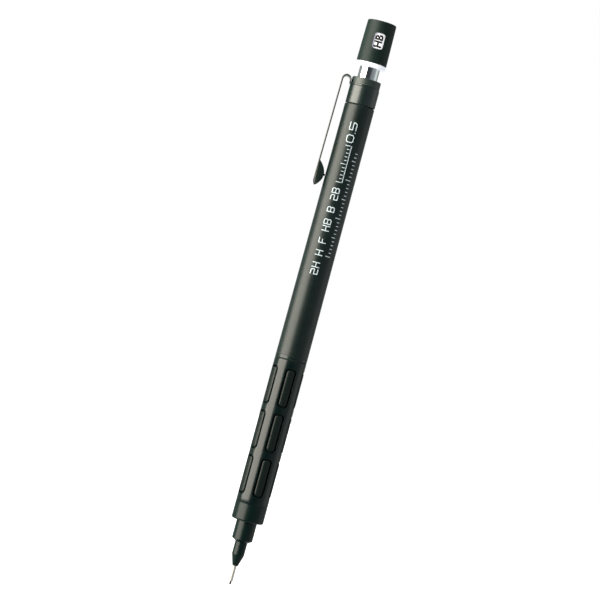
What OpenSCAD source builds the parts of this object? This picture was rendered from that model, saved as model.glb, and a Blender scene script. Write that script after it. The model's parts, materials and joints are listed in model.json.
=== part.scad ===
// Drafting pencil for 0.5 mm lead: satin barrel, slotted grip with rubber pads, pocket clip and push cap.
// +Z runs up the pencil, from the guide pipe to the cap. The origin is on the axis, at the guide pipe's
// lower end. The clip is at -X, and the grade window and the barrel's printed side face -Y.
// Sizes are millimetres and degrees.

/* [Lead and guide pipe] */
// Diameter of the lead
lead_d = 0.56; // [0.4:0.01:0.6]
// Length of a new lead
lead_len = 60; // [40:1:60]
// How far the lead stands out of the guide pipe
lead_out = 0.94; // [0.5:0.02:2]
// Outer diameter of the guide pipe
pipe_d = 0.95; // [0.8:0.01:1.2]
// Length of guide pipe that shows below the nozzle
pipe_out = 4; // [2:0.1:5]
// Length of guide pipe held inside the nozzle
pipe_seat = 3; // [2:0.1:3.2]

/* [Nozzle] */
// Diameter at the small end of the tip cone
cone_d = 1.45; // [1.3:0.05:2]
// Length of the tip cone
cone_len = 2.95; // [2:0.05:4]
// Diameter of the tip above the cone
tip_d = 3.2; // [2.9:0.05:3.8]
// Length of that straight tip
tip_len = 3.3; // [2.6:0.05:4]
// Length of the shoulder that widens from the tip to the nozzle body
shoulder_len = 0.65; // [0.4:0.05:1.2]
// Diameter of the nozzle body
nozzle_d = 5.34; // [4.4:0.02:6.4]
// Length of nozzle body that shows
nozzle_len = 4.9; // [4:0.1:8]

/* [Grip] */
// Outer diameter of the grip and of the front collar
grip_d = 8.32; // [8:0.02:10]
// Length of the front collar
front_collar_len = 4.6; // [4:0.1:8]
// Radius on the front collar's lower edge
front_collar_edge = 0.43; // [0.1:0.01:0.6]
// Length of the grip sleeve
grip_len = 37.8; // [30:0.1:46]
// Wall of the sleeve that joins the nozzle to the barrel
inner_sleeve_wall = 0.45; // [0.3:0.05:0.6]
// Length of that sleeve inside the barrel
inner_sleeve_seat = 7.8; // [4:0.1:12]
// Wall of the rubber between the two sleeves
rubber_wall = 0.45; // [0.3:0.05:0.6]

/* [Grip slots] */
// Rows of slots along the grip
slot_rows = 3; // [1:1:3]
// Slots around the grip
slot_columns = 5; // [3:1:6]
// Width of a slot
slot_w = 2.88; // [1.5:0.02:3.2]
// Radius of a slot's corners
slot_corner = 1.05; // [0.2:0.05:1.4]
// Metal left between two rows
slot_bridge = 1.65; // [1.2:0.05:2.5]
// Distance from the sleeve's lower end to the first row
slot_start = 2.05; // [1.5:0.05:3]
// Distance from the last row to the sleeve's upper end
slot_end = 2; // [1.5:0.05:3]
// Direction of the first column, seen from above
slot_angle = 283; // [0:1:359]
// Gap around each rubber pad
pad_gap = 0.45; // [0.05:0.01:0.5]
// How far the rubber pads stand proud of the grip
pad_proud = 0.05; // [0:0.01:0.3]

/* [Barrel] */
// Diameter of the barrel at its lower end
barrel_d = 8.28; // [8:0.02:10]
// Diameter of the barrel at its upper end
barrel_top_d = 7.76; // [7.2:0.02:9.4]
// Length of the barrel
barrel_len = 67.05; // [56:0.05:81]
// Length of the rear collar
rear_collar_len = 5.3; // [4:0.05:8]
// Height of the groove at the foot of the rear collar
groove_h = 0.3; // [0.1:0.05:0.6]
// Depth of that groove
groove_depth = 0.4; // [0.05:0.01:0.4]
// Diameter of the tail bush's flange
bush_flange_d = 7.5; // [7.2:0.05:7.7]
// Thickness of the tail bush's flange
bush_flange_len = 1.75; // [1.2:0.05:2.5]
// Wall of the tail bush's stem
bush_wall = 0.45; // [0.3:0.05:0.6]
// Length of the tail bush's stem inside the barrel
bush_seat = 7.5; // [5:0.1:10]

/* [Lead tube and knock tube] */
// Outer diameter of the lead tube
lead_tube_d = 4.4; // [3.8:0.1:5.2]
// Wall of the lead tube
lead_tube_wall = 0.5; // [0.4:0.05:0.6]
// Length of chrome tube that still shows below the cap's ring when the cap is fully pressed
knock_spare = 0.2; // [0.2:0.1:2]
// Length of chrome tube inside the cap's ring and cap
knock_seat = 3.6; // [2.5:0.1:5]
// Wall of the chrome tube
knock_wall = 0.41; // [0.3:0.01:0.6]
// Thickness of the flange that stops the lead tube under the tail bush
stop_flange_len = 1.9; // [1:0.1:3]

/* [Clutch] */
// Full travel of the cap when it is pressed
knock_stroke = 3; // [2.5:0.1:3.2]
// Part of that travel that the clutch ring shares before it meets its step
ring_stroke = 1.05; // [0.8:0.05:1.1]
// Length of the three jaws
jaw_len = 10; // [8:0.1:10.4]
// Width of the slits between the jaws
jaw_slit = 0.15; // [0.1:0.01:0.2]
// Length of the jaws' straight head
jaw_head_len = 1.3; // [1:0.1:1.5]
// Length of the jaws' cone
jaw_cone_len = 1.8; // [1.4:0.1:2]
// Length of the clutch ring
ring_len = 2; // [1.5:0.1:2]
// Length of the clutch housing below its flange
housing_len = 7; // [6:0.1:7.3]
// Thickness of the clutch housing's flange
housing_flange_len = 1; // [0.6:0.1:1.5]

/* [Return spring] */
// Wire diameter of the return spring
spring_wire_d = 0.35; // [0.25:0.05:0.4]
// Turns of the return spring
spring_turns = 9; // [6:1:10]
// Length of the return spring at rest
spring_len = 14; // [12:0.5:18]

/* [Cap and grade ring] */
// Diameter of the cap at its lower edge
cap_d = 7.84; // [7.6:0.02:9.4]
// Diameter of the cap at its top
cap_top_d = 7.5; // [7.4:0.02:9]
// Height of the cap
cap_len = 10.9; // [10:0.1:14]
// Wall of the cap
cap_wall = 0.5; // [0.3:0.01:0.55]
// Thickness of the cap's roof
cap_roof = 0.8; // [0.5:0.1:1.5]
// Radius on the cap's top edge
cap_edge = 0.3; // [0.1:0.05:0.7]
// Height of the grade ring's visible rim
rim_len = 1; // [0.6:0.1:2]
// Width of the grade window
window_w = 2.77; // [1.5:0.01:3.2]
// Height of the grade window
window_h = 4.04; // [3:0.02:5]
// Radius of the window's corners
window_corner = 0.6; // [0.1:0.05:1]
// Distance from the cap's lower edge to the window
window_start = 3.74; // [2:0.02:4]
// Direction of the window, seen from above
window_angle = 275.3; // [0:0.1:359.9]
// Length of the eraser
eraser_len = 8; // [6:0.1:8.5]

/* [Clip] */
// Thickness of the clip's sheet
clip_t = 0.4; // [0.3:0.05:0.5]
// Width of the clip
clip_w = 3.8; // [2.5:0.1:5]
// Distance from the barrel's axis to the sheet where it rises beside the bush's flange
clip_rise_r = 4; // [4:0.05:5]
// Radius of the clip's loop, at mid-thickness
clip_loop_r = 1.05; // [0.8:0.05:1.5]
// Height of the loop's centre above the sheet's washer
clip_loop_rise = 0.75; // [0.5:0.05:1.5]
// Distance from the loop's centre down to the arm's end
clip_len = 28; // [22:0.5:36]
// How much further out the arm's lower end stands than its upper end
clip_lean = 0.3; // [0:0.05:0.8]
// Radius of the arm's end curl
clip_curl_r = 2.4; // [2:0.1:8]
// Angle of that curl
clip_curl_angle = 38; // [20:1:50]
// Length of the folded leaf inside the arm's end
clip_leaf_len = 6.5; // [5:0.1:8]
// Diameter of the nub that presses on the barrel
clip_nub_d = 0.6; // [0.4:0.05:1]
// Length of the nub's shank, from its round end into the folded leaf
clip_shank_len = 1.2; // [1:0.1:1.5]

/* [Hidden] */
$fn = 64;

// Radial gaps: pressed or screwed pieces, sliding pieces, and pieces that pass freely.
fit = 0.02;
run = 0.05;
free = 0.15;
// Gap between faces that part when something moves.
face_gap = 0.03;
// Bevel on turned edges.
edge = 0.12;
// Cuts run past the faces that they go through by this much.
over = 1;

// Stations along Z, from the guide pipe up.
nozzle_z = pipe_out;
tip_z = nozzle_z + cone_len;
shoulder_z = tip_z + tip_len;
nozzle_body_z = shoulder_z + shoulder_len;
collar_z = nozzle_body_z + nozzle_len;
grip_z = collar_z + front_collar_len;
barrel_z = grip_z + grip_len;
rear_collar_z = barrel_z + barrel_len;
bush_flange_z = rear_collar_z + rear_collar_len;
bush_top = bush_flange_z + bush_flange_len;
bush_z = rear_collar_z - bush_seat;
rim_z = bush_top + knock_stroke + knock_spare;
cap_z = rim_z + rim_len;
cap_top = cap_z + cap_len;

// Radii of the front end, from the nozzle inward and outward.
pipe_r = pipe_d / 2;
pipe_flare = 0.18;
pipe_flare_len = 0.7;
pipe_seat_r = pipe_r + pipe_flare;
pipe_flare_top = nozzle_z + pipe_flare_len;
pipe_top = pipe_out + pipe_seat;
nozzle_r = nozzle_d / 2;
thread_step = 0.22;
thread_wall = 0.3;
ring_ledge = 0.35;
thread_r = nozzle_r - thread_step;
clutch_bore_r = thread_r - thread_wall;
chuck_bore_r = clutch_bore_r - ring_ledge;
lead_bore_r = lead_d / 2 + fit;
lead_tube_r = lead_tube_d / 2;
sleeve_thread_r = thread_r + fit;
sleeve_bore_r = max(sleeve_thread_r, lead_tube_r + free);
inner_sleeve_r = sleeve_bore_r + inner_sleeve_wall;
inner_sleeve_top = barrel_z + inner_sleeve_seat;
rubber_in_r = inner_sleeve_r + fit;
rubber_out_r = rubber_in_r + rubber_wall;
grip_bore_r = rubber_out_r + fit;
grip_r = grip_d / 2;
spigot_len = 1.2;
slot_len = (grip_len - slot_start - slot_end - (slot_rows - 1) * slot_bridge) / slot_rows;
retainer_r = 1;
retainer_len = 3;
retainer_z = pipe_top + 0.3;
chuck_floor_z = nozzle_body_z + 0.1;

// Radii of the rear end, from the lead tube outward.
knock_bore_r = lead_tube_r + fit;
knock_r = knock_bore_r + knock_wall;
bush_bore_r = knock_r + run;
bush_r = bush_bore_r + bush_wall;
bush_flange_r = bush_flange_d / 2;
barrel_bore_r = bush_r - 0.1;
stop_flange_r = barrel_bore_r - free;
rear_collar_r = barrel_top_d / 2;
stop_flange_top = bush_z - run;
stop_flange_z = stop_flange_top - stop_flange_len;
knock_top = rim_z + knock_seat;
eraser_seat = 3;
lead_tube_top = knock_top - eraser_seat;

// The clutch, from the nozzle's step up to the spring.
jaw_swing = 0.35;
jaw_head_r = chuck_bore_r - jaw_swing;
jaw_body_r = jaw_head_r - 0.5;
jaw_bore_r = lead_d / 2 + 0.005;
ring_r = clutch_bore_r - run;
ring_z = collar_z + run + ring_stroke;
ring_top = ring_z + ring_len;
jaw_cone_z = collar_z + 0.1;
jaw_z = jaw_cone_z - jaw_head_len;
jaw_top = jaw_z + jaw_len;
jaw_taper = (jaw_head_r - jaw_body_r) / jaw_cone_len;
ring_bore_r = jaw_head_r - (ring_z - jaw_cone_z) * jaw_taper + face_gap;
stem_r = jaw_body_r + run;
stem_bore_r = lead_d / 2 + 0.12;
housing_z = ring_top + 0.1;
housing_flange_z = housing_z + housing_len;
housing_top = housing_flange_z + housing_flange_len;
nozzle_top = housing_flange_z;
housing_flange_r = thread_r - run;
spring_z = housing_top;
lead_tube_z = spring_z + spring_len;
stem_seat = 3;
stem_top = lead_tube_z + stem_seat;
funnel_len = 2.5;
lead_tube_bore_r = lead_tube_r - lead_tube_wall;
funnel_z = stem_top + 1;
funnel_top = funnel_z + funnel_len;
spring_r = lead_tube_r - spring_wire_d / 2 - 0.2;
spare_count = 3;
spare_orbit_r = lead_tube_bore_r - lead_d / 2 - 0.3;

// The cap and what it holds.
cap_r = cap_d / 2;
cap_top_r = cap_top_d / 2;
cap_bore_r = min(cap_r, cap_top_r) - cap_wall;
cap_bore_top = cap_top - cap_roof;
ring_sleeve_r = cap_bore_r - run;
ring_sleeve_top = cap_bore_top - 0.8;
rim_r = cap_r - 0.07;
grade_bore_r = knock_r + run;
eraser_r = knock_bore_r - fit;
window_mid_z = cap_z + window_start + window_h / 2;

// The clip's path in the plane through the axis, as [distance from the axis, height].
clip_washer_z = bush_flange_z - clip_t;
clip_mid_z = clip_washer_z + clip_t / 2;
clip_bend_r = 0.3;
clip_loop_z = clip_mid_z + clip_loop_rise;
clip_loop_c = [clip_rise_r + clip_loop_r, clip_loop_z];
clip_arm_r = clip_rise_r + 2 * clip_loop_r;
clip_low_r = clip_arm_r + clip_lean;
clip_end_z = clip_loop_z - clip_len;
clip_curl_z = clip_end_z + clip_curl_r * sin(clip_curl_angle);
clip_curl_c = [clip_low_r - clip_curl_r, clip_curl_z];
clip_leaf_top = [clip_low_r - 0.1, clip_end_z + clip_leaf_len];
clip_washer_r = rear_collar_r - 0.1;
clip_nub_z = clip_end_z + 3;
// How deep inside the barrel's surface the point lies that the leaf's edge bends towards.
clip_leaf_pull = 1.5;

// Points of an arc about c, from angle a0 to a1, in n steps.
function arc(c, r, a0, a1, n) =
    [for (i = [0:n]) c + r * [cos(a0 + (a1 - a0) * i / n), sin(a0 + (a1 - a0) * i / n)]];

// Points of a curve from a to b that bends towards c, in n steps.
function bend(a, c, b, n) =
    [for (i = [0:n]) let (t = i / n) (1 - t) * (1 - t) * a + 2 * t * (1 - t) * c + t * t * b];

// Unit vector to the left of a path at its point i.
function left_of(path, i) =
    let (d = path[min(i + 1, len(path) - 1)] - path[max(i - 1, 0)])
    [-d[1], d[0]] / norm(d);

// Outline of a strip of thickness t that follows a path.
function strip(path, t) = concat(
    [for (i = [0:len(path) - 1]) path[i] + left_of(path, i) * t / 2],
    [for (i = [len(path) - 1:-1:0]) path[i] - left_of(path, i) * t / 2]
);

// Outline of a centred rectangle with round corners.
function round_rect(w, h, r) = concat(
    arc([w / 2 - r, h / 2 - r], r, 0, 90, 4),
    arc([r - w / 2, h / 2 - r], r, 90, 180, 4),
    arc([r - w / 2, r - h / 2], r, 180, 270, 4),
    arc([w / 2 - r, r - h / 2], r, 270, 360, 4)
);

// Radius of the barrel at height z.
function barrel_r_at(z) = (barrel_d + (barrel_top_d - barrel_d) * (z - barrel_z) / barrel_len) / 2;

// A turned solid from a profile of [radius, height] points.
module turned(profile) {
    rotate_extrude() polygon(profile);
}

// A straight tube.
module tube(z0, z1, r_in, r_out) {
    turned([[r_in, z0], [r_out, z0], [r_out, z1], [r_in, z1]]);
}

// A tube with bevelled outer edges, whose outside may taper.
module bevelled_tube(z0, z1, r_in, r_low, r_high) {
    turned([
        [r_in, z0], [r_low - edge, z0], [r_low, z0 + edge],
        [r_high, z1 - edge], [r_high - edge, z1], [r_in, z1]
    ]);
}

// A prism that runs outward from radius r0 to r1 at one direction and height.
module radial_prism(outline, angle, z, r0, r1) {
    rotate([0, 0, angle])
        translate([r0, 0, z])
            rotate([90, 0, 90])
                linear_extrude(height = r1 - r0) polygon(outline);
}

// Places its child at each slot of the grip.
module each_slot() {
    for (row = [0:slot_rows - 1], column = [0:slot_columns - 1])
        translate([0, 0, grip_z + slot_start + slot_len / 2 + row * (slot_len + slot_bridge)])
            rotate([0, 0, slot_angle + column * 360 / slot_columns])
                children();
}

// A strip of the clip's sheet that follows a path at -X.
module clip_sheet(outline, width) {
    rotate([90, 0, 0])
        linear_extrude(height = width, center = true)
            polygon([for (p = outline) [-p[0], p[1]]]);
}

module guide_pipe() {
    color("#b9bdc0") turned([
        [lead_bore_r, 0],
        [pipe_r, 0],
        [pipe_r, nozzle_z],
        [pipe_seat_r, pipe_flare_top],
        [pipe_seat_r, pipe_top],
        [lead_bore_r, pipe_top]
    ]);
}

module nozzle() {
    color("#24282a") turned([
        [pipe_r, nozzle_z],
        [cone_d / 2, nozzle_z],
        [tip_d / 2, tip_z],
        [tip_d / 2, shoulder_z],
        [nozzle_r, nozzle_body_z],
        [nozzle_r, collar_z],
        [thread_r, collar_z],
        [thread_r, nozzle_top],
        [clutch_bore_r, nozzle_top],
        [clutch_bore_r, collar_z],
        [chuck_bore_r, collar_z],
        [chuck_bore_r, chuck_floor_z],
        [retainer_r, chuck_floor_z],
        [retainer_r, pipe_top],
        [pipe_seat_r, pipe_top],
        [pipe_seat_r, pipe_flare_top]
    ]);
}

module lead_retainer() {
    color("#1c1c1c") tube(retainer_z, retainer_z + retainer_len, lead_bore_r, retainer_r - fit);
}

module front_collar() {
    color("#2b2f30") turned(concat(
        [[thread_r + fit, collar_z]],
        arc([grip_r - front_collar_edge, collar_z + front_collar_edge], front_collar_edge, 270, 360, 6),
        [
            [grip_r, grip_z - edge],
            [grip_r - edge, grip_z],
            [rubber_out_r, grip_z],
            [rubber_out_r, grip_z + spigot_len],
            [rubber_in_r, grip_z + spigot_len],
            [rubber_in_r, grip_z],
            [thread_r + fit, grip_z]
        ]
    ));
}

module inner_sleeve() {
    color("#8d8f90") turned([
        [sleeve_thread_r, grip_z],
        [inner_sleeve_r, grip_z],
        [inner_sleeve_r, inner_sleeve_top],
        [sleeve_bore_r, inner_sleeve_top],
        [sleeve_bore_r, nozzle_top],
        [sleeve_thread_r, nozzle_top]
    ]);
}

module rubber_grip() {
    pad_r = grip_r + pad_proud;
    color("#1d2021") {
        tube(grip_z + spigot_len + fit, barrel_z - fit, rubber_in_r, rubber_out_r);
        intersection() {
            tube(grip_z, barrel_z, rubber_out_r - rubber_wall / 2, pad_r);
            union() each_slot() radial_prism(
                round_rect(slot_w - 2 * pad_gap, slot_len - 2 * pad_gap, slot_corner - pad_gap),
                0, 0, rubber_in_r, pad_r + over
            );
        }
    }
}

module grip_sleeve() {
    color("#2e3233") difference() {
        bevelled_tube(grip_z, barrel_z, grip_bore_r, grip_r, grip_r);
        each_slot() radial_prism(
            round_rect(slot_w, slot_len, slot_corner), 0, 0, rubber_in_r, grip_r + over
        );
    }
}

module barrel() {
    color("#33383a") turned([
        [inner_sleeve_r + fit, barrel_z],
        [barrel_d / 2 - edge, barrel_z],
        [barrel_d / 2, barrel_z + edge],
        [rear_collar_r, rear_collar_z - edge],
        [rear_collar_r - edge, rear_collar_z],
        [bush_r + fit, rear_collar_z],
        [bush_r + fit, bush_z],
        [barrel_bore_r, bush_z],
        [barrel_bore_r, inner_sleeve_top],
        [inner_sleeve_r + fit, inner_sleeve_top]
    ]);
}

module rear_collar() {
    foot_r = rear_collar_r - groove_depth;
    color("#33383a") turned([
        [bush_r + fit, rear_collar_z],
        [foot_r, rear_collar_z],
        [foot_r, rear_collar_z + groove_h],
        [rear_collar_r, rear_collar_z + groove_h],
        [rear_collar_r, clip_washer_z - edge],
        [rear_collar_r - edge, clip_washer_z],
        [bush_r + fit, clip_washer_z]
    ]);
}

module tail_bush() {
    color("#3b4042") turned([
        [bush_bore_r, bush_z],
        [bush_r, bush_z],
        [bush_r, bush_flange_z],
        [bush_flange_r, bush_flange_z],
        [bush_flange_r, bush_top - edge],
        [bush_flange_r - edge, bush_top],
        [bush_bore_r, bush_top]
    ]);
}

module clip_root() {
    path = concat(
        [[bush_r + free, clip_mid_z]],
        arc([clip_rise_r - clip_bend_r, clip_mid_z + clip_bend_r], clip_bend_r, 270, 360, 4),
        arc(clip_loop_c, clip_loop_r, 180, 90, 8)
    );
    color("#3a3d3c") {
        tube(clip_washer_z, bush_flange_z, bush_r + fit, clip_washer_r);
        difference() {
            clip_sheet(strip(path, clip_t), clip_w);
            translate([face_gap / 2 - clip_loop_c[0] - over, -clip_w, clip_loop_z])
                cube([over, 2 * clip_w, 2 * clip_loop_r]);
        }
    }
}

module clip_arm() {
    loop = arc(clip_loop_c, clip_loop_r, 90, 0, 8);
    curl = arc(clip_curl_c, clip_curl_r, 0, -clip_curl_angle, 8);
    leaf_low = curl[len(curl) - 1];
    leaf = concat(
        bend(clip_leaf_top, [barrel_r_at(clip_nub_z) - clip_leaf_pull, clip_nub_z], leaf_low, 12),
        [for (i = [len(curl) - 1:-1:0]) curl[i]]
    );
    nub_r = clip_nub_d / 2;
    nub_x = barrel_r_at(clip_nub_z) + face_gap + nub_r;
    color("#3a3d3c") {
        difference() {
            clip_sheet(strip(concat(loop, curl), clip_t), clip_w);
            translate([-clip_loop_c[0] - face_gap / 2, -clip_w, clip_loop_z])
                cube([over, 2 * clip_w, 2 * clip_loop_r]);
        }
        clip_sheet(leaf, clip_w);
        translate([-nub_x, 0, clip_nub_z]) {
            sphere(r = nub_r);
            rotate([0, -90, 0]) cylinder(r = nub_r, h = clip_shank_len);
        }
    }
}

module clutch_housing() {
    color("#c8a656") {
        tube(housing_z, housing_flange_z, ring_bore_r, clutch_bore_r - run);
        tube(housing_flange_z, housing_top, ring_bore_r, housing_flange_r);
    }
}

module clutch_ring() {
    color("#d0b060") tube(ring_z, ring_top, ring_bore_r, ring_r);
}

module chuck_stem() {
    color("#c8a656") tube(jaw_top, stem_top, stem_bore_r, stem_r);
}

// One third of the chuck: a straight head, a cone that the ring grips, and a slim body.
module chuck_jaw(turn) {
    apex = jaw_slit / 2 / sin(60);
    reach = 2 * jaw_head_r;
    color("#d0b060") rotate([0, 0, turn]) intersection() {
        turned([
            [jaw_bore_r, jaw_z],
            [jaw_head_r, jaw_z],
            [jaw_head_r, jaw_cone_z],
            [jaw_body_r, jaw_cone_z + jaw_cone_len],
            [jaw_body_r, jaw_top],
            [jaw_bore_r, jaw_top]
        ]);
        translate([apex, 0, jaw_z - over]) linear_extrude(height = jaw_len + 2 * over)
            polygon([[0, 0], reach * [cos(60), -sin(60)], [2 * reach, 0], reach * [cos(60), sin(60)]]);
    }
}

module chuck_jaw_1() { chuck_jaw(0); }

module chuck_jaw_2() { chuck_jaw(120); }

module chuck_jaw_3() { chuck_jaw(240); }

// A wire swept along a helix whose first and last turns lie flat against each other.
module return_spring() {
    steps = 16 * spring_turns;
    sides = 8;
    wire_r = spring_wire_d / 2;
    closed = spring_wire_d * 1.02;
    low = spring_z + wire_r;
    open_pitch = (spring_len - spring_wire_d - 2 * closed) / (spring_turns - 2);
    function rise(turn) = turn < 1 ? closed * turn
        : turn > spring_turns - 1 ? spring_len - spring_wire_d - closed * (spring_turns - turn)
        : closed + open_pitch * (turn - 1);
    rings = [for (i = [0:steps], k = [0:sides - 1])
        let (turn = i * spring_turns / steps, a = 360 * turn, b = 360 * k / sides)
        let (r = spring_r + wire_r * cos(b))
        [r * cos(a), r * sin(a), low + rise(turn) + wire_r * sin(b)]];
    skin = [for (i = [0:steps - 1], k = [0:sides - 1])
        let (k2 = (k + 1) % sides)
        [i * sides + k, (i + 1) * sides + k, (i + 1) * sides + k2, i * sides + k2]];
    ends = [[for (k = [0:sides - 1]) k], [for (k = [sides - 1:-1:0]) steps * sides + k]];
    color("#b0b4b8") polyhedron(points = rings, faces = concat(skin, ends), convexity = 10);
}

module lead_tube() {
    seat_r = stem_r + fit;
    color("#c9ccce") turned([
        [seat_r, lead_tube_z],
        [lead_tube_r, lead_tube_z],
        [lead_tube_r, stop_flange_z],
        [stop_flange_r, stop_flange_z],
        [stop_flange_r, stop_flange_top],
        [lead_tube_r, stop_flange_top],
        [lead_tube_r, lead_tube_top],
        [lead_tube_bore_r, lead_tube_top],
        [lead_tube_bore_r, funnel_top],
        [stem_bore_r, funnel_z],
        [stem_bore_r, stem_top],
        [seat_r, stem_top]
    ]);
}

module knock_tube() {
    color("#d4d8da") bevelled_tube(stop_flange_top, knock_top, knock_bore_r, knock_r, knock_r);
}

module grade_ring() {
    rim_top = cap_z - face_gap;
    color("#f4f4f6") turned([
        [grade_bore_r, rim_z],
        [rim_r - edge, rim_z],
        [rim_r, rim_z + edge],
        [rim_r, rim_top],
        [ring_sleeve_r, rim_top],
        [ring_sleeve_r, ring_sleeve_top],
        [grade_bore_r, ring_sleeve_top]
    ]);
}

module cap() {
    color("#1f2a28") difference() {
        turned(concat(
            [[cap_bore_r, cap_z], [cap_r - edge, cap_z], [cap_r, cap_z + edge]],
            arc([cap_top_r - cap_edge, cap_top - cap_edge], cap_edge, 0, 90, 6),
            [[0, cap_top], [0, cap_bore_top], [cap_bore_r, cap_bore_top]]
        ));
        radial_prism(
            round_rect(window_w, window_h, window_corner), window_angle, window_mid_z,
            cap_bore_r - cap_wall, cap_r + over
        );
    }
}

module eraser() {
    color("#f6f6f4") translate([0, 0, lead_tube_top + fit]) cylinder(r = eraser_r, h = eraser_len);
}

module lead() {
    color("#2a2a2c") translate([0, 0, -lead_out]) cylinder(d = lead_d, h = lead_len);
}

module spare_leads() {
    color("#2a2a2c") for (i = [0:spare_count - 1])
        rotate([0, 0, i * 360 / spare_count])
            translate([spare_orbit_r, 0, funnel_top])
                cylinder(d = lead_d, h = lead_len);
}

guide_pipe();
nozzle();
lead_retainer();
front_collar();
inner_sleeve();
rubber_grip();
grip_sleeve();
barrel();
rear_collar();
tail_bush();
clip_root();
clip_arm();
clutch_housing();
clutch_ring();
chuck_stem();
chuck_jaw_1();
chuck_jaw_2();
chuck_jaw_3();
return_spring();
lead_tube();
knock_tube();
grade_ring();
cap();
eraser();
lead();
spare_leads();
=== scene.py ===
# Looks for the drafting pencil: materials, detailed pieces that stand for plain CAD ones, light and camera.
# Lengths are millimetres in the CAD's frame, and MM turns them into Blender's metres.
import json
import math

import bmesh
import bpy
from mathutils import Matrix, Vector


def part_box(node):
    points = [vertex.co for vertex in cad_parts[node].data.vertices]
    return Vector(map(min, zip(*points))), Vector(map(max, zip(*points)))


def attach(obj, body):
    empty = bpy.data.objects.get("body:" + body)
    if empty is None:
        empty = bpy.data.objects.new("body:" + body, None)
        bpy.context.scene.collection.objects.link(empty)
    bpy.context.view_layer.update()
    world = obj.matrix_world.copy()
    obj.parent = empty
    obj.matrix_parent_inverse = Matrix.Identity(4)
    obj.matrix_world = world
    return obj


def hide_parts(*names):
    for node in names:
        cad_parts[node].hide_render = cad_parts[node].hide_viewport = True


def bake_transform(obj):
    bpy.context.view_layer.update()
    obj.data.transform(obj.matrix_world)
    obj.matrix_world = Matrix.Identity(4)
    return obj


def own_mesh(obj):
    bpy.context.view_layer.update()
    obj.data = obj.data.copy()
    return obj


MM = 0.001
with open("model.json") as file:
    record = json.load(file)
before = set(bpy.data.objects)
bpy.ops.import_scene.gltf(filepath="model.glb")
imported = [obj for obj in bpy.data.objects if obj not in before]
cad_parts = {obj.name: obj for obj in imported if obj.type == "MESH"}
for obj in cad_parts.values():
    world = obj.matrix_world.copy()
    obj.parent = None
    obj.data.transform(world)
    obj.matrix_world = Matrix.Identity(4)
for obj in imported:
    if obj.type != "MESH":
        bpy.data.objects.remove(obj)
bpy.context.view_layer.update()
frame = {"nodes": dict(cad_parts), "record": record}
nodes = frame["nodes"]
scene = bpy.context.scene


# ---------------------------------------------------------------- sizes from the CAD
def low_high(node):
    """Lowest and highest corner of a CAD node, in millimetres."""
    low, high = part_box(node)
    return low / MM, high / MM


GRIP_LOW, GRIP_HIGH = low_high("grip_sleeve")
RUBBER_LOW, RUBBER_HIGH = low_high("rubber_grip")
NOZZLE_BODY_TOP = low_high("front_collar")[0].z
BARREL_LOW, BARREL_HIGH = low_high("barrel")
CAP_FOOT = low_high("cap")[0].z
SPRING_LOW, SPRING_HIGH = low_high("return_spring")

# The metal grip sleeve: its slots in rows up the pencil and columns round it, the first column at SLOT_ANGLE.
GRIP_R = GRIP_HIGH.x
GRIP_BORE_R = 3.41
SLOT_W, SLOT_H, SLOT_CORNER = 2.88, 10.15, 1.05
SLOT_PITCH = 11.8
SLOT_ROWS, SLOT_COLUMNS, SLOT_ANGLE = 3, 5, 283
SLOT_FIRST_Z = GRIP_LOW.z + 2.05 + SLOT_H / 2
# The rubber under it, with a pad in each slot.
PAD_GAP = 0.45
PAD_R = 4.21
RUBBER_IN_R, RUBBER_OUT_R = 2.94, 3.39
# The barrel, the grade ring's sleeve and the cap's window.
BARREL_R, BARREL_TOP_R = 4.14, 3.88
RING_SLEEVE_R = 3.20
WINDOW_ANGLE, WINDOW_Z = 275.3, CAP_FOOT + 5.76


def barrel_r(z):
    """Radius of the tapering barrel at height z."""
    t = (z - BARREL_LOW.z) / (BARREL_HIGH.z - BARREL_LOW.z)
    return BARREL_R + (BARREL_TOP_R - BARREL_R) * t


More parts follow.
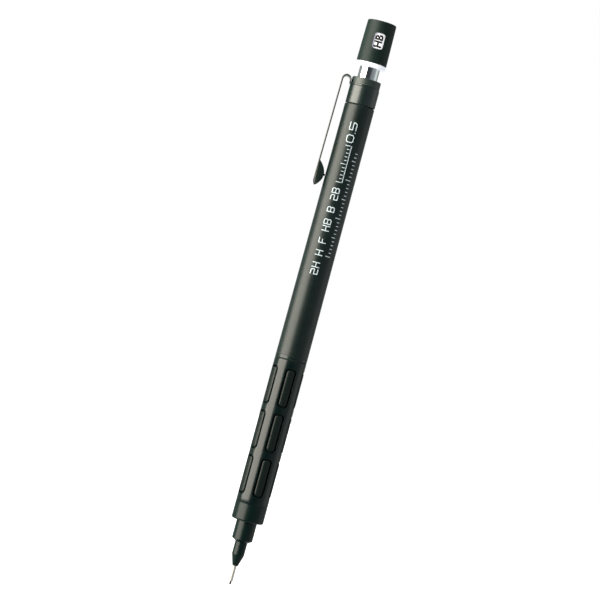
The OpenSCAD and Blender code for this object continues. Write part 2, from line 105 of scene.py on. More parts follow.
# ---------------------------------------------------------------- materials
class Nodes:
    """A small builder for one procedural material."""

    def __init__(self, name):
        self.material = bpy.data.materials.new(name)
        self.material.use_nodes = True
        self.tree = self.material.node_tree
        self.shader = self.tree.nodes["Principled BSDF"]
        self.place = self.add("ShaderNodeTexCoord").outputs["Object"]

    def add(self, kind, **values):
        node = self.tree.nodes.new(kind)
        for key, value in values.items():
            setattr(node, key, value)
        return node

    def link(self, out, socket):
        self.tree.links.new(out, socket)

    def noise(self, size_mm, detail, stretch=(1, 1, 1)):
        """Noise with features of about size_mm, stretched along an axis where stretch is below 1."""
        mapping = self.add("ShaderNodeMapping")
        mapping.inputs["Scale"].default_value = [s / (size_mm * MM) for s in stretch]
        self.link(self.place, mapping.inputs["Vector"])
        node = self.add("ShaderNodeTexNoise")
        node.inputs["Scale"].default_value = 1.0
        node.inputs["Detail"].default_value = detail
        node.inputs["Roughness"].default_value = 0.55
        self.link(mapping.outputs["Vector"], node.inputs["Vector"])
        return node.outputs["Fac"]

    def spread(self, fac, low, high, edge0=0.3, edge1=0.7):
        """Low where fac is edge0 or less, high where it is edge1 or more."""
        node = self.add("ShaderNodeMapRange")
        node.inputs["From Min"].default_value = edge0
        node.inputs["From Max"].default_value = edge1
        node.inputs["To Min"].default_value = low
        node.inputs["To Max"].default_value = high
        self.link(fac, node.inputs["Value"])
        return node.outputs["Result"]

    def mix(self, fac, a, b):
        """Between two colours."""
        node = self.add("ShaderNodeMix", data_type="RGBA")
        node.inputs[6].default_value = (*a, 1)
        node.inputs[7].default_value = (*b, 1)
        self.link(fac, node.inputs[0])
        return node.outputs[2]

    def band(self, value, low, high, inside):
        """Puts another number in place of a value between two heights, in millimetres up the pencil."""
        split = self.add("ShaderNodeSeparateXYZ")
        self.link(self.place, split.inputs["Vector"])
        off = self.add("ShaderNodeMath", operation="SUBTRACT")
        self.link(split.outputs["Z"], off.inputs[0])
        off.inputs[1].default_value = (low + high) / 2 * MM
        away = self.add("ShaderNodeMath", operation="ABSOLUTE")
        self.link(off.outputs[0], away.inputs[0])
        half = (high - low) / 2 * MM
        pick = self.add("ShaderNodeMix", data_type="FLOAT")
        self.link(self.spread(away.outputs[0], 1, 0, half * 0.9, half), pick.inputs[0])
        self.link(value, pick.inputs[2])
        pick.inputs[3].default_value = inside
        return pick.outputs[0]

    def bump(self, height, depth_mm, normal=None):
        """Relief of a depth, on top of the relief that normal already holds."""
        node = self.add("ShaderNodeBump")
        node.inputs["Distance"].default_value = depth_mm * MM
        self.link(height, node.inputs["Height"])
        if normal is not None:
            self.link(normal, node.inputs["Normal"])
        return node.outputs["Normal"]


def finish(name, color, rough, metallic=0.0, specular=0.5, shade=0.2, grain=0.12, depth=0.003,
           swing=0.06, patch=3.0, turned=None, ior=1.5, subsurface=0.0, painted_glow=None, bands=()):
    """A finish whose colour, roughness and relief vary at scales that suit a pencil.
    The colour varies by shade over patches of size patch, the roughness by swing and the relief by depth over
    grains of size grain. Turned is the spacing and depth of the marks that a lathe leaves. The emission
    colour and strength are painted light, which makes a part that is no lamp shine. Each band is a lower
    height, an upper height and the roughness between them."""
    m = Nodes(name)
    broad = m.noise(patch, detail=4)
    fine = m.noise(grain, detail=2)
    dark = [c * (1 - shade) for c in color]
    light = [min(1.0, c * (1 + shade)) for c in color]
    m.link(m.mix(m.spread(broad, 0, 1), dark, light), m.shader.inputs["Base Color"])
    roughness = m.spread(fine, rough - swing, rough + swing)
    for low, high, inside in bands:
        roughness = m.band(roughness, low, high, inside)
    m.link(roughness, m.shader.inputs["Roughness"])
    normal = m.bump(fine, depth)
    if turned:
        spacing, cut = turned
        rings = m.noise(spacing, detail=2, stretch=(0.02, 0.02, 1))
        normal = m.bump(rings, cut, normal)
    m.link(normal, m.shader.inputs["Normal"])
    m.shader.inputs["Metallic"].default_value = metallic
    m.shader.inputs["IOR"].default_value = ior
    m.shader.inputs["Specular IOR Level"].default_value = specular
    if subsurface:
        m.shader.inputs["Subsurface Weight"].default_value = subsurface
        m.shader.inputs["Subsurface Radius"].default_value = [0.4 * MM] * 3
    # Painted light: emission that makes a part which is no lamp shine.
    if painted_glow:
        m.shader.inputs["Emission Color"].default_value = (*painted_glow[:3], 1)
        m.shader.inputs["Emission Strength"].default_value = painted_glow[3]
    return m.material


# Bands of another roughness: the barrel's smoother foot with the line over it, and the dark joint lines.
BARREL_FOOT = (BARREL_LOW.z + 0.27, BARREL_LOW.z + 1.05, 0.27)
FOOT_LINE = (BARREL_LOW.z + 1.03, BARREL_LOW.z + 1.16, 0.62)
JOINT_LINE = (BARREL_LOW.z - 0.02, BARREL_LOW.z + 0.27, 1.0)
COLLAR_LINE = (NOZZLE_BODY_TOP - 0.08, NOZZLE_BODY_TOP + 0.02, 1.0)
COLLAR_GROOVE = (BARREL_HIGH.z - 0.13, BARREL_HIGH.z + 0.31, 1.0)
LOOKS = {
    # Painted light: the steel pipe gives off a little warm emission of its own, though it is no lamp.
    "steel_pipe": finish("steel_pipe", (0.38, 0.37, 0.34), 0.45, metallic=1, shade=0.08, grain=0.08,
                         depth=0.0008, turned=(0.12, 0.002), painted_glow=(1.0, 0.97, 0.90, 0.18)),
    "nozzle_black": finish("nozzle_black", (0.001, 0.009, 0.0075), 0.31, specular=0.29, grain=0.07,
                           depth=0.0015, turned=(0.12, 0.002), bands=[COLLAR_LINE]),
    "retainer_rubber": finish("retainer_rubber", (0.02, 0.02, 0.02), 0.7, grain=0.1, depth=0.004),
    "collar_black": finish("collar_black", (0.003, 0.012, 0.011), 0.31, ior=1.70, grain=0.07,
                           depth=0.0012, turned=(0.1, 0.0016), bands=[COLLAR_GROOVE]),
    "sleeve_resin": finish("sleeve_resin", (0.12, 0.12, 0.12), 0.5, grain=0.2, depth=0.003),
    "grip_rubber": finish("grip_rubber", (0.002, 0.007, 0.006), 0.42, specular=0.33, grain=0.22,
                          depth=0.008, patch=0.6, swing=0.10),
    "grip_shell": finish("grip_shell", (0.0004, 0.006, 0.0055), 0.23, specular=0.44, grain=0.07,
                         depth=0.0014, turned=(0.14, 0.0010)),
    "barrel_satin": finish("barrel_satin", (0.002, 0.009, 0.008), 0.39, specular=0.46, grain=0.24,
                           depth=0.0040, swing=0.08, patch=1.6, shade=0.3,
                           bands=[BARREL_FOOT, FOOT_LINE, JOINT_LINE, COLLAR_GROOVE]),
    "bush_black": finish("bush_black", (0.012, 0.024, 0.020), 0.42, ior=1.60, grain=0.07,
                         depth=0.0014, turned=(0.1, 0.0016), bands=[COLLAR_GROOVE]),
    "clip_coated": finish("clip_coated", (0.004, 0.011, 0.009), 0.25, ior=1.72, grain=0.06,
                          depth=0.0010),
    "clutch_brass": finish("clutch_brass", (0.72, 0.50, 0.22), 0.28, metallic=1, shade=0.1,
                           grain=0.08, depth=0.001, turned=(0.12, 0.003)),
    "spring_steel": finish("spring_steel", (0.52, 0.53, 0.55), 0.3, metallic=1, shade=0.1,
                           grain=0.05, depth=0.0008),
    "tube_resin": finish("tube_resin", (0.45, 0.47, 0.48), 0.45, grain=0.2, depth=0.003),
    "tube_chrome": finish("tube_chrome", (0.86, 0.88, 0.90), 0.07, metallic=1, shade=0.03, swing=0.02,
                          grain=0.15, depth=0.0003, turned=(0.3, 0.0004)),
    # Painted light: emission that brightens the white grade ring as though it were lit.
    "ring_white": finish("ring_white", (0.88, 0.88, 0.93), 0.35, shade=0.03, grain=0.15,
                         depth=0.001, subsurface=0.1, painted_glow=(0.90, 0.89, 1.0, 0.45)),
    "cap_dark": finish("cap_dark", (0.005, 0.015, 0.0125), 0.50, specular=0.22, grain=0.1,
                       depth=0.0016, patch=2.0),
    "eraser_white": finish("eraser_white", (0.85, 0.85, 0.82), 0.8, shade=0.05, grain=0.25, depth=0.01,
                           subsurface=0.1),
    "lead_graphite": finish("lead_graphite", (0.05, 0.05, 0.055), 0.38, metallic=0.3, grain=0.05,
                            depth=0.001),
    # Painted light: emission that brightens the silver print as though it were lit.
    "print_silver": finish("print_silver", (0.46, 0.54, 0.58), 0.45, shade=0.25, grain=0.12,
                           depth=0.002, patch=0.5, painted_glow=(0.78, 0.91, 1.0, 0.20)),
    "mark_black": finish("mark_black", (0.006, 0.007, 0.007), 0.5, shade=0.3, grain=0.1, depth=0.001,
                         patch=0.4),
}


def paint(obj, look):
    """Gives an object one finish."""
    obj.data.materials.clear()
    obj.data.materials.append(LOOKS[look])


for part in frame["record"]["subparts"]:
    paint(nodes[part["node"]], part["material_slot"])


# ---------------------------------------------------------------- mesh helpers
def mesh_piece(name, points, faces, look, body):
    """A smooth-shaded mesh piece, which rides on a CAD body unless body is None."""
    data = bpy.data.meshes.new(name)
    data.from_pydata([Vector(p) * MM for p in points], [], faces)
    mesh = bmesh.new()
    mesh.from_mesh(data)
    bmesh.ops.remove_doubles(mesh, verts=mesh.verts, dist=1e-7)
    bmesh.ops.recalc_face_normals(mesh, faces=mesh.faces)
    mesh.to_mesh(data)
    mesh.free()
    data.polygons.foreach_set("use_smooth", [True] * len(data.polygons))
    data.update()
    piece = bpy.data.objects.new(name, data)
    scene.collection.objects.link(piece)
    paint(piece, look)
    if body:
        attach(piece, body)
    return piece


def lathe(name, profile, look, body):
    """A closed profile of (radius, height) turned about the axis."""
    points, faces = [], []
    steps, count = 96, len(profile)
    for i in range(steps):
        a = math.tau * i / steps
        points += [(r * math.cos(a), r * math.sin(a), z) for r, z in profile]
    for i in range(steps):
        j = (i + 1) % steps
        for k in range(count):
            n = (k + 1) % count
            faces.append((i * count + k, j * count + k, j * count + n, i * count + n))
    piece = mesh_piece(name, points, faces, look, body)
    keep_sharp(piece, 35)
    return piece


def keep_sharp(piece, angle):
    """Marks edges sharper than an angle, so smooth shading stops at them."""
    piece.data.set_sharp_from_angle(angle=math.radians(angle))


# ---------------------------------------------------------------- grip sleeve and rubber
def four_quarters(quarter):
    """A closed loop from its first quarter, from the middle of the right side to that of the top."""
    left = [(-u, v) for u, v in reversed(quarter[:-1])]
    down = [(-u, -v) for u, v in quarter[1:]]
    back = [(u, -v) for u, v in reversed(quarter[1:-1])]
    return quarter + left + down + back


def slot_loop(width, height, corner):
    """Points round a rounded rectangle, counter-clockwise from the middle of its right side."""
    half_w, half_h = width / 2, height / 2
    quarter = [(half_w, (half_h - corner) * i / 4) for i in range(5)]
    for i in range(1, 9):
        a = math.radians(90 * i / 8)
        quarter.append((half_w - corner + corner * math.cos(a), half_h - corner + corner * math.sin(a)))
    quarter.append((0, half_h))
    return four_quarters(quarter)


def cell_loop(half_angle, half_h):
    """Points round a cell of the sleeve, one for each point of a slot's outline, as (angle, height)."""
    straight = SLOT_H / 2 - SLOT_CORNER
    turn = math.degrees(math.asin((SLOT_W / 2 - SLOT_CORNER) / GRIP_R))
    quarter = [(half_angle, straight * i / 4) for i in range(5)]
    quarter += [(half_angle, straight + (half_h - straight) * i / 4) for i in range(1, 5)]
    quarter += [(half_angle + (turn - half_angle) * i / 4, half_h) for i in range(1, 5)]
    quarter.append((0, half_h))
    return four_quarters(quarter)


def slot_places():
    """Height and direction of the middle of each slot."""
    for row in range(SLOT_ROWS):
        for column in range(SLOT_COLUMNS):
            yield SLOT_FIRST_Z + row * SLOT_PITCH, SLOT_ANGLE + column * 360 / SLOT_COLUMNS


def on_round(angle, z, r):
    """A point on a cylinder about the axis. The angle is seen from above, from +X."""
    a = math.radians(angle)
    return (r * math.cos(a), r * math.sin(a), z)


def bridge(points, faces, rings):
    """Joins closed rings of equal length with quads, and gives the number of its first point."""
    base = len(points)
    count = len(rings[0])
    for ring in rings:
        points += ring
    for k in range(len(rings) - 1):
        for i in range(count):
            j = (i + 1) % count
            a, b = base + k * count, base + (k + 1) * count
            faces.append((a + i, a + j, b + j, b + i))
    return base


def grip_shell():
    """The metal sleeve with its slots, each with a rounded lip."""
    points, faces = [], []
    border = cell_loop(180 / SLOT_COLUMNS, SLOT_PITCH / 2)
    # A slot's edge from the surface in, as (how far out from the slot's wall, how far below the surface).
    lips = [(0.05, 0.0), (0.03, 0.005), (0.01, 0.02), (0.0, 0.05), (0.0, GRIP_R - GRIP_BORE_R)]
    slot = []
    for offset, drop in lips:
        r = GRIP_R - drop
        shape = slot_loop(SLOT_W + 2 * offset, SLOT_H + 2 * offset, SLOT_CORNER + offset)
        slot.append([(math.degrees(math.asin(u / r)), v, r) for u, v in shape])
    edge = [(a, v, GRIP_R) for a, v in border]
    between = [
        [(a0 + (a1 - a0) * t, v0 + (v1 - v0) * t, GRIP_R) for (a0, v0, _), (a1, v1, _) in zip(edge, slot[0])]
        for t in (0.3, 0.65)
    ]
    cell = [edge] + between + slot + [[(a, v, GRIP_BORE_R) for a, v in border]]
    for z, turn in slot_places():
        bridge(points, faces, [[on_round(turn + a, z + v, r) for a, v, r in ring] for ring in cell])
    grip_ends(points, faces, sorted({round(a, 5) for a, v in border if abs(v - SLOT_PITCH / 2) < 1e-6}))
    piece = mesh_piece("grip_shell_detail", points, faces, "grip_shell", "root")
    keep_sharp(piece, 50)
    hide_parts("grip_sleeve")


def grip_ends(points, faces, top_angles):
    """The plain bands at both ends of the sleeve, each with a bevel, on the angles of a cell's border."""
    first = SLOT_FIRST_Z - SLOT_PITCH / 2
    last = SLOT_FIRST_Z + (SLOT_ROWS - 0.5) * SLOT_PITCH
    for start, end, way, bevel in ((first, GRIP_LOW.z, 1, 0.06), (last, GRIP_HIGH.z, -1, 0.12)):
        eased = 0.3 * bevel
        steps = [
            (GRIP_R, start), (GRIP_R, end + way * bevel), (GRIP_R - eased, end + way * eased),
            (GRIP_R - bevel, end), (GRIP_BORE_R, end), (GRIP_BORE_R, start),
        ]
        for column in range(SLOT_COLUMNS):
            turn = SLOT_ANGLE + column * 360 / SLOT_COLUMNS
            base = len(points)
            for r, z in steps:
                points += [on_round(turn + a, z, r) for a in top_angles]
            n = len(top_angles)
            for k in range(len(steps) - 1):
                for i in range(n - 1):
                    faces.append((base + k * n + i, base + k * n + i + 1,
                                  base + (k + 1) * n + i + 1, base + (k + 1) * n + i))


def rubber_pads():
    """The rubber base with a crowned pad in each slot."""
    points, faces = [], []
    width, height, corner = SLOT_W - 2 * PAD_GAP, SLOT_H - 2 * PAD_GAP, SLOT_CORNER - PAD_GAP
    # A pad's edge from its foot up, as (how far in from its wall, radius).
    crown = [(0.0, 3.30), (0.0, PAD_R - 0.25), (0.02, PAD_R - 0.17), (0.07, PAD_R - 0.105),
             (0.14, PAD_R - 0.06), (0.25, PAD_R - 0.03), (0.6, PAD_R - 0.005)]
    for z, turn in slot_places():
        rings = []
        for inset, r in crown:
            shape = slot_loop(width - 2 * inset, height - 2 * inset, max(corner - inset, 0.12))
            rings.append([on_round(turn + math.degrees(math.asin(u / r)), z + v, r) for u, v in shape])
        top_inset = crown[-1][0]
        shape = slot_loop(width - 2 * top_inset, height - 2 * top_inset, 0.2)
        rings.append([on_round(turn, z + v * 0.97, PAD_R) for u, v in shape])
        bridge(points, faces, rings)
    piece = mesh_piece("rubber_pads_detail", points, faces, "grip_rubber", "root")
    keep_sharp(piece, 60)
    base = lathe("rubber_base_detail", [
        (RUBBER_IN_R, RUBBER_LOW.z), (RUBBER_OUT_R, RUBBER_LOW.z),
        (RUBBER_OUT_R, RUBBER_HIGH.z), (RUBBER_IN_R, RUBBER_HIGH.z),
    ], "grip_rubber", "root")
    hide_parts("rubber_grip")


grip_shell()
rubber_pads()


# ---------------------------------------------------------------- clip
# The sheet's thickness, width and edge radius.
CLIP_T, CLIP_W, CLIP_SOFT = 0.4, 3.8, 0.19
# The washer, the bend up from it and the loop, whose places are mid-line ones.
WASHER_Z = low_high("clip_root")[0].z
WASHER_IN_R, WASHER_OUT_R = 3.15, 3.78
BEND_R, LOOP_R, LOOP_X, LOOP_Z = 0.3, 1.05, 5.05, WASHER_Z + 0.95
# The arm's lower end: where the curl starts, its end, and the height of the nub and the ears' points.
ARM_LOW_X = 6.4
END_Z, CURL_R, CURL_ANGLE = WASHER_Z - 27.05, 2.4, 38
CURL_Z = END_Z + CURL_R * math.sin(math.radians(CURL_ANGLE))
NUB_Z = END_Z + 3.0
EAR_TIP_Z = NUB_Z + 3.5


def clip_path():
    """Mid-line of the sheet, as (distance from the axis, height), from the washer to the arm's end."""
    foot_z = WASHER_Z + CLIP_T / 2
    path = [Vector((3.3, foot_z)), Vector((3.5, foot_z))]
    path += arc(LOOP_X - LOOP_R - BEND_R, foot_z + BEND_R, BEND_R, 270, 360, 6)
    path += arc(LOOP_X, LOOP_Z, LOOP_R, 180, 0, 20)
    top = path[-1]
    bottom = Vector((ARM_LOW_X, CURL_Z))
    path += [top.lerp(bottom, i / 12) for i in range(1, 12)]
    path += arc(ARM_LOW_X - CURL_R, CURL_Z, CURL_R, 0, -CURL_ANGLE, 10)
    return path


def arc(x, z, r, start, end, steps):
    """Points on an arc from one angle to another, both ends included."""
    points = []
    for i in range(steps + 1):
        a = math.radians(start + (end - start) * i / steps)
        points.append(Vector((x + r * math.cos(a), z + r * math.sin(a))))
    return points


def strip_section(width):
    """A rounded rectangle across the sheet, as (across, through) points."""
    section = []
    for sx, sy, start in ((1, 1, 0), (-1, 1, 90), (-1, -1, 180), (1, -1, 270)):
        middle_x = sx * (width / 2 - CLIP_SOFT)
        middle_y = sy * (CLIP_T / 2 - CLIP_SOFT)
        section += [tuple(p) for p in arc(middle_x, middle_y, CLIP_SOFT, start, start + 90, 4)]
    return section


def clip_sheet():
    """The strip from the washer over the loop to the arm's end, which narrows over its last stretch."""
    narrowing, narrow_len = 0.45, 2.2
    path = clip_path()
    length = [0.0]
    for a, b in zip(path, path[1:]):
        length.append(length[-1] + (b - a).length)
    points, faces, rings = [], [], []
    for i, p in enumerate(path):
        d = (path[min(i + 1, len(path) - 1)] - path[max(i - 1, 0)]).normalized()
        side = Vector((-d.y, d.x))
        left = length[-1] - length[i]
        width = CLIP_W * (1 - narrowing * max(0.0, 1 - left / narrow_len) ** 2)
        ring = []
        for across, through in strip_section(width):
            q = p + side * through
            ring.append((-q.x, across, q.y))
        rings.append(ring)
    base = bridge(points, faces, rings)
    count = len(rings[0])
    faces.append(tuple(range(base, base + count)))
    faces.append(tuple(reversed(range(len(points) - count, len(points)))))
    piece = mesh_piece("clip_sheet", points, faces, "clip_coated", None)
    keep_sharp(piece, 40)
    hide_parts("clip_root", "clip_arm")
    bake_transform(piece)


def plate(name, outline, y0, y1, look, body):
    """A flat plate across Y with softened edges. Outline points are (distance from the axis, height)."""
    bevel = 0.12
    mesh = bmesh.new()
    low = [mesh.verts.new(Vector((-x, y0, z)) * MM) for x, z in outline]
    face = mesh.faces.new(low)
    extruded = bmesh.ops.extrude_face_region(mesh, geom=[face])
    moved = [v for v in extruded["geom"] if isinstance(v, bmesh.types.BMVert)]
    bmesh.ops.translate(mesh, verts=moved, vec=Vector((0, (y1 - y0) * MM, 0)))
    rims = [e for e in mesh.edges if all(abs(v.co.y - e.verts[0].co.y) < 1e-9 for v in e.verts)]
    bmesh.ops.bevel(mesh, geom=rims, offset=bevel * MM, segments=3, affect="EDGES", profile=0.5)
    bmesh.ops.recalc_face_normals(mesh, faces=mesh.faces)
    data = bpy.data.meshes.new(name)
    mesh.to_mesh(data)
    mesh.free()
    data.polygons.foreach_set("use_smooth", [True] * len(data.polygons))
    piece = bpy.data.objects.new(name, data)
    scene.collection.objects.link(piece)
    keep_sharp(piece, 50)
    paint(piece, look)
    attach(piece, body)
    return piece


def clip_ears():
    """The folded side walls at the arm's end, which narrow to a point along the arm."""
    inset = 0.1
    tip = Vector((ARM_LOW_X - inset, EAR_TIP_Z))
    foot = Vector((5.89, END_Z))
    pull = Vector((2.45, NUB_Z))
    outline = arc(ARM_LOW_X - CURL_R, CURL_Z, CURL_R - inset, -CURL_ANGLE, 0, 10) + [tip]
    for i in range(1, 16):
        t = i / 16
        outline.append(tip * (1 - t) ** 2 + pull * 2 * t * (1 - t) + foot * t * t)
    front = -CLIP_W / 2 + 0.02
    for name, y in (("clip_ear_front", front), ("clip_ear_back", -front - CLIP_T)):
        ear = plate(name, outline, y, y + CLIP_T, "clip_coated", "clip")


def clip_nub():
    """The blunt pin between the ears, which presses on the barrel."""
    # From its tip to its foot in the arm, as (radius, distance from the pencil's axis).
    profile = [(0.0, 3.99), (0.17, 4.0), (0.25, 4.04), (0.29, 4.10), (0.30, 4.18),
               (0.30, 4.8), (0.42, 4.9), (0.42, 6.1), (0.0, 6.1)]
    points, faces, rings = [], [], []
    for r, x in profile:
        rings.append([(-x, r * math.cos(math.tau * k / 20), NUB_Z + r * math.sin(math.tau * k / 20))
                      for k in range(20)])
    bridge(points, faces, rings)
    nub = mesh_piece("clip_nub", points, faces, "nozzle_black", "clip")
    keep_sharp(nub, 50)


def clip_washer():
    """The ring round the tail bush that the clip's sheet starts from."""
    soft = 0.08
    top = WASHER_Z + CLIP_T
    washer = lathe("clip_washer", [
        (WASHER_IN_R, WASHER_Z), (WASHER_OUT_R - soft, WASHER_Z), (WASHER_OUT_R, WASHER_Z + soft),
        (WASHER_OUT_R, top - soft), (WASHER_OUT_R - soft, top), (WASHER_IN_R, top),
    ], "clip_coated", "root")


clip_sheet()
clip_ears()
clip_nub()
clip_washer()


# ---------------------------------------------------------------- return spring
def return_spring():
    """Round wire on the CAD spring's own helix, with closed end turns. Wire is its radius."""
    wire, turns = 0.175, 9
    mean_r = SPRING_HIGH.x - wire
    length = SPRING_HIGH.z - SPRING_LOW.z
    # The rise of a closed turn, which just clears the turn below it.
    closed = wire * 2 * 1.02
    pitch = (length - wire * 2 - 2 * closed) / (turns - 2)
    points, faces, rings = [], [], []
    steps = 36 * turns
    for i in range(steps + 1):
        turn = i * turns / steps
        if turn < 1:
            rise = closed * turn
        elif turn > turns - 1:
            rise = length - wire * 2 - closed * (turns - turn)
        else:
            rise = closed + pitch * (turn - 1)
        a = math.tau * turn
        ring = []
        for k in range(12):
            b = math.tau * k / 12
            r = mean_r + wire * math.cos(b)
            ring.append((r * math.cos(a), r * math.sin(a), SPRING_LOW.z + wire + rise + wire * math.sin(b)))
        rings.append(ring)
    base = bridge(points, faces, rings)
    faces.append(tuple(range(base, base + 12)))
    faces.append(tuple(reversed(range(len(points) - 12, len(points)))))
    spring = mesh_piece("return_spring_wire", points, faces, "spring_steel", "root")
    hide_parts("return_spring")
    # A full press is 3 mm.
    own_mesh(spring)


return_spring()


# ---------------------------------------------------------------- printed marks
def flat_text(text, height, bold):
    """Text from Blender's own font as a flat mesh, its capitals height tall, starting at the origin."""
    curve = bpy.data.curves.new("letters", "FONT")
    curve.body = text
    curve.size = 1.0
    curve.offset = bold
    curve.fill_mode = "FRONT"
    curve.resolution_u = 4
    holder = bpy.data.objects.new("letters", curve)
    scene.collection.objects.link(holder)
    bpy.context.view_layer.update()
    data = bpy.data.meshes.new_from_object(holder.evaluated_get(bpy.context.evaluated_depsgraph_get()))
    bpy.data.objects.remove(holder)
    mesh = bmesh.new()
    mesh.from_mesh(data)
    bpy.data.meshes.remove(data)
    low_x = min(v.co.x for v in mesh.verts)
    low_y = min(v.co.y for v in mesh.verts)
    high_y = max(v.co.y for v in mesh.verts)
    scale = height / (high_y - low_y)
    for v in mesh.verts:
        v.co = Vector(((v.co.x - low_x) * scale, (v.co.y - low_y) * scale, 0))
    return mesh


def flat_bars(bars):
    """Flat rectangles as (x0, x1, y0, y1)."""
    mesh = bmesh.new()
    for x0, x1, y0, y1 in bars:
        mesh.faces.new([mesh.verts.new((x, y, 0)) for x, y in ((x0, y0), (x1, y0), (x1, y1), (x0, y1))])
    return mesh


def wrap(name, mesh, z0, base_angle, radius, look, body, length, lift=0.008):
    """Wraps a flat mesh on the pencil: its x runs up the pencil and its y turns towards the clip.
    base_angle is the direction of y = 0, from the viewer's side towards the right."""
    high_x = max(v.co.x for v in mesh.verts)
    if length:
        for v in mesh.verts:
            v.co.x *= length / high_x
    high_y = max(v.co.y for v in mesh.verts)
    cut = 0.16
    y = cut
    while y < high_y:
        geometry = mesh.verts[:] + mesh.edges[:] + mesh.faces[:]
        bmesh.ops.bisect_plane(mesh, geom=geometry, plane_co=(0, y, 0), plane_no=(0, 1, 0))
        y += cut
    for v in mesh.verts:
        z = z0 + v.co.x
        r = radius(z) + lift
        a = math.radians(base_angle) - v.co.y / radius(z)
        v.co = Vector((r * math.sin(a), -r * math.cos(a), z)) * MM
    for face in mesh.faces:
        if face.normal.dot(face.calc_center_median() * Vector((1, 1, 0))) < 0:
            face.normal_flip()
    mesh.normal_update()
    data = bpy.data.meshes.new(name)
    mesh.to_mesh(data)
    mesh.free()
    piece = bpy.data.objects.new(name, data)
    scene.collection.objects.link(piece)
    paint(piece, look)
    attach(piece, body)


def letter_lines(letter, w, h, t):
    """Centre lines of a squarish letter drawn with a stroke of width t, as (closed, points)."""
    cut, mid = 0.2 * w, h / 2
    bar = (False, [(t / 2, mid), (w - t / 2, mid)])
    lines = {
        "0": [(True, [(cut, 0), (w - cut, 0), (w, cut), (w, h - cut),
                      (w - cut, h), (cut, h), (0, h - cut), (0, cut)])],
        "2": [(False, [(-t / 2, h), (w - cut, h), (w, h - cut), (w, mid), (0, mid), (0, 0), (w + t / 2, 0)])],
        "5": [(False, [(w + t / 2, h), (0, h), (0, mid), (w, mid), (w, cut), (w - cut, 0), (-t / 2, 0)])],
        "H": [(False, [(0, -t / 2), (0, h + t / 2)]), (False, [(w, -t / 2), (w, h + t / 2)]), bar],
        "F": [(False, [(w + t / 2, h), (0, h), (0, -t / 2)]), (False, [(t / 2, mid), (w * 0.85, mid)])],
        "B": [(True, [(0, 0), (w - cut, 0), (w, cut), (w, mid - cut), (w - cut, mid),
                      (w, mid + cut), (w, h - cut), (w - cut, h), (0, h)]),
              (False, [(t / 2, mid), (w - cut - t * 0.7, mid)])],
        ".": [(False, [(-t / 2, 0), (t / 2, 0)])],
    }
    return lines[letter]


def ribbon(mesh, closed, points, t):
    """A flat mitred stroke of width t along a line of points."""
    points = [Vector(p) for p in points]
    count = len(points)
    sides = []
    for i, p in enumerate(points):
        before = points[i - 1] if closed or i else None
        after = points[(i + 1) % count] if closed or i < count - 1 else None
        d0 = (p - before).normalized() if before is not None else None
        d1 = (after - p).normalized() if after is not None else None
        d0 = d0 or d1
        d1 = d1 or d0
        n0, n1 = Vector((-d0.y, d0.x)), Vector((-d1.y, d1.x))
        mitre = (n0 + n1) / (1 + n0.dot(n1)) * t / 2
        sides.append([mesh.verts.new((*(p + mitre), 0)), mesh.verts.new((*(p - mitre), 0))])
    for i in range(count if closed else count - 1):
        a, b = sides[i], sides[(i + 1) % count]
        mesh.faces.new([a[0], a[1], b[1], b[0]])


def stroke_text(text, w, h, t, gap, space):
    """Squarish letters w by h between their strokes' middles, set out from the origin."""
    mesh = bmesh.new()
    x = t / 2
    for letter in text:
        if letter == " ":
            x += space - gap
            continue
        wide = 0 if letter == "." else w
        for closed, points in letter_lines(letter, wide, h, t):
            ribbon(mesh, closed, [(x + u, v + t / 2) for u, v in points], t)
        x += wide + t + gap
    return mesh


def barrel_print():
    """Generic marks only: a row of lead grades, the lead size and two plain scales."""
    stroke = 0.21
    grades = stroke_text("2H H F HB B 2B", 1.18, 1.76, stroke, 0.35, 1.76)
    on_barrel("print_grades", grades, 22.7, 10.7, 22.6)
    size = stroke_text("0.5", 1.72, 1.72, stroke, 0.42, 0)
    on_barrel("print_size", size, 57.2, 10.7, 5.3)
    # A short scale with its base line, then one with a division for each millimetre.
    step, bar = 0.95, 0.16
    bars = [(0, 10 * step + bar, 0, 0.17)]
    for i in range(11):
        bars.append((i * step, i * step + bar, 0.38, 1.75 if i % 5 == 0 else 1.1))
    on_barrel("print_scale_short", flat_bars(bars), 46.8, 11.5)
    bars = []
    for i in range(28):
        tall = 1.5 if i % 10 == 0 else 1.15 if i % 5 == 0 else 0.75
        bars.append((i, i + 0.17, 0, tall))
    on_barrel("print_scale_long", flat_bars(bars), 27.8, 43.0)


def on_barrel(name, mesh, height, angle, length=None):
    """Prints a flat mesh on the barrel, from a height above its foot."""
    wrap(name, mesh, BARREL_LOW.z + height, angle, barrel_r, "print_silver", "root", length)


def grade_marks():
    """Lead grades round the ring's sleeve, one of them in the cap's window. Length is a mark's own."""
    grades = ("HB", "B", "2B", "4H", "2H", "H", "F")
    half = math.degrees(1.02 / RING_SLEEVE_R)
    for i, text in enumerate(grades):
        mesh = flat_text(text, 2.1, 0.045)
        length = 3.3 if len(text) == 2 else 1.6
        middle_angle = WINDOW_ANGLE - 270 + i * 360 / len(grades)
        wrap("mark_grade_" + text, mesh, WINDOW_Z - length / 2, middle_angle + half, lambda z: RING_SLEEVE_R,
             "mark_black", "grade", length, 0.006)


barrel_print()
grade_marks()


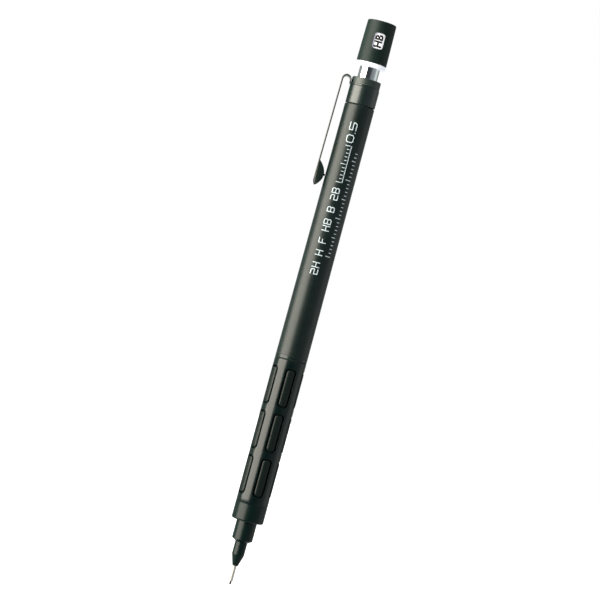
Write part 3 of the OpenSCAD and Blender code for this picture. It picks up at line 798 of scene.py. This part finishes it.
# ---------------------------------------------------------------- camera
# It leans with the photo, looks along +Y and aims at the middle of the picture.
LEAN = math.radians(15.20)
right = Vector((math.cos(LEAN), 0, math.sin(LEAN)))
up = Vector((-math.sin(LEAN), 0, math.cos(LEAN)))
middle = Vector((0, 0, 73.34)) * MM - right * 1.60 * MM + up * 0.787 * MM
DISTANCE = 573.7 * MM
camera_data = bpy.data.cameras.new("camera")
camera_data.lens = 135
camera_data.sensor_width = 36
camera_data.clip_start = 0.01
camera_data.clip_end = 20
camera = bpy.data.objects.new("camera", camera_data)
scene.collection.objects.link(camera)
camera.matrix_world = Matrix((
    (right.x, up.x, 0, middle.x),
    (right.y, up.y, -1, middle.y - DISTANCE),
    (right.z, up.z, 0, middle.z),
    (0, 0, 0, 1),
))
scene.camera = camera


# ---------------------------------------------------------------- light and floor
PANEL_AWAY, PANEL_TALL, PANEL_Z = 500 * MM, 900 * MM, 350 * MM


def panel(name, angle, width, watts, color):
    """An upright soft light at one side. Angle runs from the viewer's side towards the right."""
    data = bpy.data.lights.new(name, "AREA")
    data.shape = "RECTANGLE"
    data.size = width * MM
    data.size_y = PANEL_TALL
    data.energy = watts
    data.color = color
    light = bpy.data.objects.new(name, data)
    scene.collection.objects.link(light)
    a = math.radians(angle)
    towards = Vector((math.sin(a), -math.cos(a), 0))
    light.location = towards * PANEL_AWAY + Vector((0, 0, PANEL_Z))
    light.rotation_euler = (-towards).to_track_quat("-Z", "Y").to_euler()


panel("key", -59, 600, 12.6, (1.0, 0.945, 0.83))
panel("fill", 100, 300, 0.27, (0.94, 1.0, 0.97))

world = bpy.data.worlds.new("studio")
scene.world = world
world.use_nodes = True
tree = world.node_tree
tree.nodes.clear()


def world_node(kind, **inputs):
    """A node of the room, with its inputs set by name, where _ stands for a space."""
    node = tree.nodes.new(kind)
    for key, value in inputs.items():
        node.inputs[key.replace("_", " ")].default_value = value
    return node


def world_ramp(stops, value):
    """Colours by a number from -1 to 1."""
    reach = world_node("ShaderNodeMapRange", From_Min=-1, From_Max=1)
    tree.links.new(value, reach.inputs["Value"])
    node = tree.nodes.new("ShaderNodeValToRGB")
    ramp = node.color_ramp
    ramp.elements[0].position, ramp.elements[0].color = 0.0, (*stops[0][1], 1)
    ramp.elements[1].position, ramp.elements[1].color = 1.0, (*stops[-1][1], 1)
    for position, color in stops[1:-1]:
        ramp.elements.new(position).color = (*color, 1)
    tree.links.new(reach.outputs["Result"], node.inputs["Fac"])
    return node.outputs["Color"]


# The room is dim on the viewer's side, grey round the sides and white behind, with a pale floor and ceiling.
heading = world_node("ShaderNodeTexCoord")
split = world_node("ShaderNodeSeparateXYZ")
tree.links.new(heading.outputs["Generated"], split.inputs["Vector"])
walls = world_ramp([(0.0, (0.04, 0.045, 0.05)), (0.03, (0.06, 0.065, 0.07)), (0.10, (0.20, 0.225, 0.235)),
                    (0.50, (0.38, 0.42, 0.415)), (0.72, (0.32, 0.36, 0.335)), (0.90, (0.24, 0.265, 0.24)),
                    (0.96, (0.50, 0.53, 0.50)), (1.0, (0.95, 1.0, 0.95))], split.outputs["Y"])
level = world_ramp([(0.0, (0.08, 0.09, 0.09)), (0.10, (0.10, 0.11, 0.11)), (0.25, (0.45, 0.47, 0.46)),
                    (1.0, (0.75, 0.77, 0.75))], split.outputs["Y"])
steep = world_node("ShaderNodeMapRange", From_Min=0.25, From_Max=0.6)
slope = tree.nodes.new("ShaderNodeMath")
slope.operation = "ABSOLUTE"
tree.links.new(split.outputs["Z"], slope.inputs[0])
tree.links.new(slope.outputs[0], steep.inputs["Value"])
room = tree.nodes.new("ShaderNodeMix")
room.data_type = "RGBA"
tree.links.new(steep.outputs["Result"], room.inputs[0])
tree.links.new(walls, room.inputs[6])
tree.links.new(level, room.inputs[7])
dim = tree.nodes.new("ShaderNodeBackground")
tree.links.new(room.outputs[2], dim.inputs["Color"])
# The camera itself sees plain white.
shown = world_node("ShaderNodeBackground", Color=(1, 1, 1, 1))
mixed = tree.nodes.new("ShaderNodeMixShader")
ray = tree.nodes.new("ShaderNodeLightPath")
out = tree.nodes.new("ShaderNodeOutputWorld")
tree.links.new(ray.outputs["Is Camera Ray"], mixed.inputs["Fac"])
tree.links.new(dim.outputs["Background"], mixed.inputs[1])
tree.links.new(shown.outputs["Background"], mixed.inputs[2])
tree.links.new(mixed.outputs["Shader"], out.inputs["Surface"])
scene.view_settings.view_transform = "Standard"
scene.view_settings.look = "None"

# A white floor well below the pencil, which neither lights it nor shows in it.
FLOOR_HALF, FLOOR_Z = 3000 * MM, -120 * MM
floor_mesh = bpy.data.meshes.new("floor")
floor_mesh.from_pydata([
    (-FLOOR_HALF, -FLOOR_HALF, FLOOR_Z), (FLOOR_HALF, -FLOOR_HALF, FLOOR_Z),
    (FLOOR_HALF, FLOOR_HALF, FLOOR_Z), (-FLOOR_HALF, FLOOR_HALF, FLOOR_Z),
], [], [(0, 1, 2, 3)])
floor = bpy.data.objects.new("floor", floor_mesh)
scene.collection.objects.link(floor)
pale = bpy.data.materials.new("floor_pale")
pale.use_nodes = True
pale_inputs = pale.node_tree.nodes["Principled BSDF"].inputs
pale_inputs["Base Color"].default_value = (1, 1, 1, 1)
pale_inputs["Emission Color"].default_value = (1, 1, 1, 1)
pale_inputs["Emission Strength"].default_value = 1.0
floor.data.materials.append(pale)
floor.visible_diffuse = False
floor.visible_glossy = False
floor.visible_shadow = False
